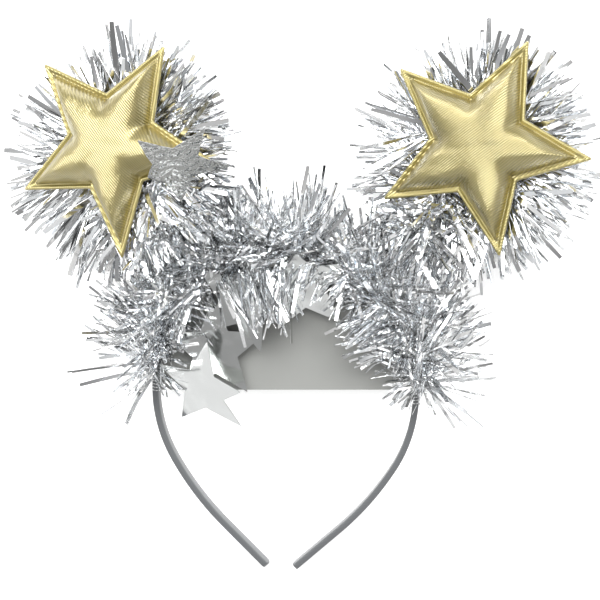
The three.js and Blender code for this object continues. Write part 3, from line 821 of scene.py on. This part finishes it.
def build_star_tinsel(settings, star, seed, material):
    """The tinsel wound up a stem and coiled behind its star."""
    rng = np.random.default_rng(seed)
    place = placing(settings.band, star)
    # The foot of the stem stands in the garland and has no tinsel of its own.
    bare_steps = 14
    stem = stem_path(settings, star, count=60)[bare_steps:]
    steps = COIL["steps"]
    turns = np.linspace(0, 2 * math.pi * COIL["turns"], steps)
    radius = np.linspace(*COIL["radius"], steps) * MM
    depth = np.linspace(*COIL["depth"], steps) * MM
    coil = moved(np.stack([radius * np.cos(turns), radius * np.sin(turns), depth], axis=-1), place)
    coil[:, :2] += np.array(star["coil"]) * MM * np.linspace(0, 1, steps)[:, None]
    path = np.concatenate([stem, coil])
    run = run_along(path)
    count = settings.tinsel.star_strips
    where = np.clip(clumped(rng.uniform(0, run[-1], count), rng, CLUMP, 1.2 * MM), 0, run[-1])
    roots = np.stack([np.interp(where, run, path[:, i]) for i in range(3)], axis=-1)
    slopes = unit(np.gradient(path, axis=0))
    along = unit(np.stack([np.interp(where, run, slopes[:, i]) for i in range(3)], axis=-1))
    normal = np.array(place)[:3, 2]
    across = unit(np.cross(along, normal))
    over = np.cross(across, along)
    # Round the stem the strips point all ways; in the coil they mostly point outwards.
    coiled = where > run[len(stem)]
    turn = np.where(coiled, rng.normal(0, math.radians(60), count), rng.uniform(-math.pi, math.pi, count))
    turn = clumped(turn, rng, CLUMP, math.radians(5))
    lean = clumped(rng.normal(0, math.radians(18), count), rng, CLUMP, math.radians(5))
    aims = directions(across, over, along, turn, lean)
    # Strips that would stand up in front of the star lie back beside it.
    most_rise = 0.1
    excess = np.where(coiled, np.maximum(aims @ normal - most_rise, 0), 0)
    aims = unit(aims - normal * excess[:, None])
    lengths = settings.tinsel.reach * rng.triangular(0.45, 0.85, 1.03, count)
    lengths = lengths * np.where(~coiled & (np.cos(turn) < 0), star["left_share"], 1)
    lengths = free_lengths(settings, roots, aims, lengths)
    strips = strip_mesh(settings, rng, roots, aims, lengths, breadth=1.15)
    wire = 0.7 * MM
    side = star["side"]
    tinsel_piece(f"{side}_stem_tinsel", f"{side}_star_tinsel", strips, [tube_along(path, wire)], material)


def sharp_star(tip, notch):
    """The ten corners of a star, a tip first."""
    angles = math.pi / 2 + np.arange(10) * math.pi / 5
    radii = np.where(np.arange(10) % 2 == 0, tip, notch)
    return np.stack([radii * np.cos(angles), radii * np.sin(angles)], axis=-1)


def rounded_star(tip, notch, tip_round, notch_round, edge_steps, arc_steps):
    """The outline of a star with its corners rounded off, anticlockwise from the top tip."""
    corners = sharp_star(tip, notch)
    before = unit(np.roll(corners, 1, axis=0) - corners)
    after = unit(np.roll(corners, -1, axis=0) - corners)
    halves = np.arccos(np.sum(before * after, axis=1)) / 2
    rounds = np.where(np.arange(10) % 2 == 0, tip_round, notch_round)
    cuts = (rounds / np.tan(halves))[:, None]
    middles = corners + unit(before + after) * (rounds / np.sin(halves))[:, None]
    starts = corners + before * cuts
    ends = corners + after * cuts
    points = []
    for i in range(10):
        for share in np.linspace(0, 1, arc_steps + 1):
            blend = (starts[i] - middles[i]) * (1 - share) + (ends[i] - middles[i]) * share
            points.append(middles[i] + unit(blend) * rounds[i])
        following = starts[(i + 1) % 10]
        for share in np.linspace(0, 1, edge_steps + 1)[1:-1]:
            points.append(ends[i] + (following - ends[i]) * share)
    return np.array(points)


def soft_distance(points, outline, power):
    """A smooth stand-in for the distance to an outline: nearly it by an edge, rounded in the middle."""
    total = np.zeros(len(points))
    for i in range(10):
        a = outline[i]
        edge = outline[(i + 1) % 10] - a
        share = np.clip(((points - a) @ edge) / (edge @ edge), 0, 1)
        gap = np.linalg.norm(points - a - share[:, None] * edge, axis=1)
        total += np.maximum(gap, 1e-6) ** -power
    return total ** (-1 / power)


def pulled(points, tips, reach):
    """Points of a star after each tip is pulled outwards and sideways, in millimetres."""
    narrow, late = 6, 1.5
    angles = np.arctan2(points[:, 1], points[:, 0])
    share = np.hypot(points[:, 0], points[:, 1]) / reach
    result = points.copy()
    for i, (out, side) in enumerate(tips):
        angle = math.pi / 2 + i * 2 * math.pi / 5
        way = np.array([math.cos(angle), math.sin(angle)])
        pull = (out * way + side * np.array([-way[1], way[0]])) * MM
        weight = np.maximum(np.cos(angles - angle), 0) ** narrow * share ** late
        result += weight[:, None] * pull
    return result


def wrinkles(points, seed):
    """Broad soft wrinkles over a cushion, about -1 to 1, as waves in scattered directions."""
    rng = np.random.default_rng(seed)
    total = np.zeros(len(points))
    for length in (7.0, 8.5, 10.0, 12.5, 15.0):
        way = rng.uniform(0, 2 * math.pi)
        waves = (points @ np.array([math.cos(way), math.sin(way)])) * 2 * math.pi / (length * MM)
        total += np.sin(waves + rng.uniform(0, 2 * math.pi)) / 2.5
    return total


def build_padded_star(settings, star):
    """A padded star: a rolled edge, a sewn groove, and wadding that swells between the seams."""
    stars = settings.stars
    tip, notch = stars.tip_radius, stars.notch_radius
    tip_round = 0.7 * MM
    notch_round = 1.2 * MM
    outline = rounded_star(
        tip + 1.8 * tip_round, notch, tip_round, notch_round, edge_steps=16, arc_steps=5)
    corners = sharp_star(tip, notch)
    edge = corners[1] - corners[0]
    edge_distance = abs(corners[0][0] * edge[1] - corners[0][1] * edge[0]) / np.linalg.norm(edge)
    back = -0.7 * MM
    back_swell = 0.9 * MM
    back_reach = 14 * MM
    pad_foot = 0.05 * MM
    pad_fullness = 2.1
    seam = stars.rim / MM
    pucker_count = 95
    pucker_height = 0.07 * MM
    pucker_fade = 2.6
    wrinkle_height = 0.2 * MM
    around = len(outline)
    arc = np.linspace(0, 1, around, endpoint=False)
    pad = corners * (1 - stars.rim / edge_distance)
    middle = soft_distance(np.zeros((1, 2)), pad, 2)[0]
    rings = []
    rims = []

    def add_ring(flat, heights, rim):
        rings.append(np.column_stack([flat, np.broadcast_to(heights, around)]))
        rims.append(np.full(around, rim))

    # The back, from its middle out to the edge.
    for inset in (20.4, 17.0, 12.0, 7.0, 3.4):
        flat = outline * (1 - inset * MM / edge_distance)
        swell = soft_distance(flat, corners, 3)
        add_ring(flat, back - back_swell * np.sqrt(np.clip(swell / back_reach, 0, 1)), 0.0)
    # The rolled edge: inset and height of its section, then down into the sewn groove.
    for inset, height in ((2.5, -1.0), (1.1, -1.35), (0.35, -1.1), (0.0, -0.4), (0.12, 0.25), (0.5, 0.75),
                          (1.0, 0.9), (1.5, 0.75), (1.95, 0.4), (2.35, 0.12)):
        add_ring(outline * (1 - inset * MM / edge_distance), height * MM, 1.0)
    # The wadding from the seam inwards, with small puckers along the seam that die away.
    for inwards in (0, 0.3, 0.7, 1.3, 2.1, 3.1, 4.3, 5.8, 7.5, 9.3, 11.3, 13.3, 15.3, 16.9, 18.0):
        flat = outline * (1 - (seam + inwards) * MM / edge_distance)
        share = soft_distance(flat, pad, 2) / middle if inwards else np.zeros(around)
        height = pad_foot + stars.puff * (1 - (1 - share) ** pad_fullness)
        height = height + wrinkle_height * wrinkles(flat, star["seed"]) * np.minimum(2 * share, 1)
        fade = math.exp(-inwards / pucker_fade)
        pucker = np.sin(2 * math.pi * pucker_count * arc + 3 * np.sin(2 * math.pi * 7 * arc))
        pucker = pucker * pucker_height * fade
        add_ring(flat, height + (pucker if inwards else 0), 0.0)
    points, faces = closed_rings(rings)
    points[:, :2] = pulled(points[:, :2], star["tips"], tip)
    material = gold_lame(stars, star["side"], star["ribs"])
    made = mesh_object(f"{star['side']}_padded_star", points, faces, material, sharp=math.radians(75))
    set_values(made.data, "rim", np.concatenate([*rims, [0.0, 0.0]]))
    made.matrix_world = placing(settings.band, star)
    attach(made, "root")
    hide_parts(f"{star['side']}_star")


def build_foil_star(settings, star, material):
    """A star punched from mirror film, a little curled and waved."""
    stars = settings.stars
    cut_round = 0.25 * MM
    reach = stars.foil_tip_radius
    outline = rounded_star(
        reach, stars.foil_notch_radius, cut_round, cut_round, edge_steps=8, arc_steps=2)
    scales = (1.0, 0.99, 0.9, 0.78, 0.64, 0.48, 0.3, 0.12)
    wave_across, wave_up, wave_start = 2.1 * MM, 2.9 * MM, 1.3

    def height(flat):
        curl = star["curl"] * MM * (1 - (flat[:, 0] / reach) ** 2)
        waves = np.sin(flat[:, 0] / wave_across + wave_start) * np.sin(flat[:, 1] / wave_up + star["spin"])
        return curl - star["curl"] * MM / 2 + star["ripple"] * MM * waves

    def ring(scale, side):
        flat = pulled(outline * scale, star["tips"], reach)
        return np.column_stack([flat, height(flat) + side * stars.foil_thickness / 2])

    points, faces = closed_rings([ring(s, -1) for s in scales[::-1]] + [ring(s, 1) for s in scales])
    made = mesh_object(star["node"].replace("foil_star", "film_star"), points, faces, material)
    made.matrix_world = placing(settings.band, star)
    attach(made, "root")
    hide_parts(star["node"])


def dress_node(node, material):
    """Gives a carried-over solid its material."""
    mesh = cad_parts[node].data
    mesh.materials.clear()
    mesh.materials.append(material)


def build_stage(settings):
    """The white table, the light and the camera."""
    stage = settings.stage
    size = 3.0
    corners = [(-size, -size, 0), (size, -size, 0), (size, size, 0), (-size, size, 0)]
    floor = mesh_object("white_table", corners, [(0, 1, 2, 3)], white_table(stage))

    world = bpy.data.worlds.new("studio")
    world.use_nodes = True
    tree = world.node_tree
    tree.nodes.clear()
    place = add_node(tree, "ShaderNodeTexCoord")
    parts = add_node(tree, "ShaderNodeSeparateXYZ", {"Vector": place.outputs["Generated"]})
    # White walls all round and a dark ceiling over the camera, by the sine of the height.
    ramp = add_node(tree, "ShaderNodeValToRGB", {"Fac": parts.outputs["Z"]})
    stops = ramp.color_ramp.elements
    stops[0].position = 0.66
    stops[0].color = (1, 1, 1, 1)
    stops[1].position = 0.94
    stops[1].color = toned((1, 1, 1), stage.overhead)
    light = add_node(tree, "ShaderNodeBackground", {"Color": ramp.outputs["Color"], "Strength": stage.sky})
    add_node(tree, "ShaderNodeOutputWorld", {"Surface": light.outputs["Background"]})
    bpy.context.scene.world = world

    lamp = bpy.data.lights.new("key_softbox", "AREA")
    lamp.shape = "RECTANGLE"
    lamp.size = 1.7
    lamp.size_y = 0.6
    lamp.energy = stage.key
    key = bpy.data.objects.new("key_softbox", lamp)
    key.location = (-0.05, 0.5, 0.85)
    lit_spot = Vector((0, 0.05, 0))
    key.rotation_mode = "QUATERNION"
    key.rotation_quaternion = (key.location - lit_spot).to_track_quat("Z", "Y")
    bpy.context.collection.objects.link(key)

    camera = bpy.data.cameras.new("camera")
    camera.lens = stage.lens
    camera.sensor_width = 36
    seat = bpy.data.objects.new("camera", camera)
    back = (Vector(stage.eye) - Vector(stage.aim)).normalized()
    lean_up = Vector((-math.sin(stage.lean), math.cos(stage.lean), 0))
    right = lean_up.cross(back).normalized()
    up = back.cross(right)
    seat.matrix_world = Matrix.Translation(stage.eye) @ Matrix((right, up, back)).transposed().to_4x4()
    bpy.context.collection.objects.link(seat)
    bpy.context.scene.camera = seat
    bpy.context.scene.view_settings.view_transform = "Standard"
    # Light finds its way out of the tinsel only after many mirror bounces.
    bpy.context.scene.cycles.max_bounces = 16
    bpy.context.scene.cycles.glossy_bounces = 14


class HEADBAND_OT_stage(bpy.types.Operator):
    """Make the white table, the light and the camera"""

    bl_idname = "headband.stage"
    bl_label = "Stage"

    def execute(self, context):
        build_stage(context.scene.headband)
        return {"FINISHED"}


class HEADBAND_OT_band(bpy.types.Operator):
    """Cover the band with its ribbon"""

    bl_idname = "headband.band"
    bl_label = "Band"

    def execute(self, context):
        build_band(context.scene.headband)
        return {"FINISHED"}


class HEADBAND_OT_card(bpy.types.Operator):
    """Finish the plain card in the arch"""

    bl_idname = "headband.card"
    bl_label = "Card"

    def execute(self, context):
        dress_node("card", grey_card(context.scene.headband.band))
        return {"FINISHED"}


class HEADBAND_OT_stems(bpy.types.Operator):
    """Finish the wire stems"""

    bl_idname = "headband.stems"
    bl_label = "Stems"

    def execute(self, context):
        wire = drawn_wire()
        for star in PADDED_STARS:
            dress_node(f"{star['side']}_stem", wire)
        return {"FINISHED"}


class HEADBAND_OT_tinsel(bpy.types.Operator):
    """Wind the tinsel along the crown, up the stems and behind the stars"""

    bl_idname = "headband.tinsel"
    bl_label = "Tinsel"

    def execute(self, context):
        settings = context.scene.headband
        film = metallised_film(settings.tinsel)
        build_garland(settings, film)
        for seed, star in enumerate(PADDED_STARS, start=FIRST_STEM_SEED):
            build_star_tinsel(settings, star, seed, film)
        return {"FINISHED"}


class HEADBAND_OT_padded_stars(bpy.types.Operator):
    """Sew and fill the padded gold stars"""

    bl_idname = "headband.padded_stars"
    bl_label = "Padded stars"

    def execute(self, context):
        for star in PADDED_STARS:
            build_padded_star(context.scene.headband, star)
        return {"FINISHED"}


class HEADBAND_OT_film_stars(bpy.types.Operator):
    """Hang the mirror-film stars in the tinsel"""

    bl_idname = "headband.film_stars"
    bl_label = "Film stars"

    def execute(self, context):
        settings = context.scene.headband
        smooth = mirror_film(
            "mirror_film", settings.stars.mirror, wave_length=14 * MM, wave_height=0.75 * MM)
        # The crumpled film takes a much darker colour than the smooth film, as painted shade.
        crumpled = mirror_film(
            "crumpled_shaded_film", settings.stars.crumpled, wave_length=3.4 * MM, wave_height=3.6 * MM)
        for star in FOIL_STARS:
            build_foil_star(settings, star, crumpled if star["crumpled"] else smooth)
        return {"FINISHED"}


OPERATORS = (
    HEADBAND_OT_stage,
    HEADBAND_OT_band,
    HEADBAND_OT_card,
    HEADBAND_OT_stems,
    HEADBAND_OT_tinsel,
    HEADBAND_OT_padded_stars,
    HEADBAND_OT_film_stars,
)


class HEADBAND_PT_panel(bpy.types.Panel):
    """Lists the pieces and their settings"""

    bl_label = "Headband"
    bl_idname = "HEADBAND_PT_panel"
    bl_space_type = "VIEW_3D"
    bl_region_type = "UI"
    bl_category = "Headband"

    def draw(self, context):
        for operator in OPERATORS:
            self.layout.operator(operator.bl_idname)
        settings = context.scene.headband
        for group in (settings.band, settings.tinsel, settings.stars, settings.stage):
            box = self.layout.box()
            for name in group.bl_rna.properties.keys():
                if name not in ("rna_type", "name"):
                    box.prop(group, name)


CLASSES = (
    BandSettings,
    TinselSettings,
    StarSettings,
    StageSettings,
    HeadbandSettings,
    *OPERATORS,
    HEADBAND_PT_panel,
)


def register():
    for cls in CLASSES:
        bpy.utils.register_class(cls)
    bpy.types.Scene.headband = PointerProperty(type=HeadbandSettings)


def unregister():
    del bpy.types.Scene.headband
    for cls in reversed(CLASSES):
        bpy.utils.unregister_class(cls)


def main():
    register()
    bpy.ops.headband.stage()
    bpy.ops.headband.band()
    bpy.ops.headband.card()
    bpy.ops.headband.stems()
    bpy.ops.headband.tinsel()
    bpy.ops.headband.padded_stars()
    bpy.ops.headband.film_stars()


if __name__ == "__main__":
    main()
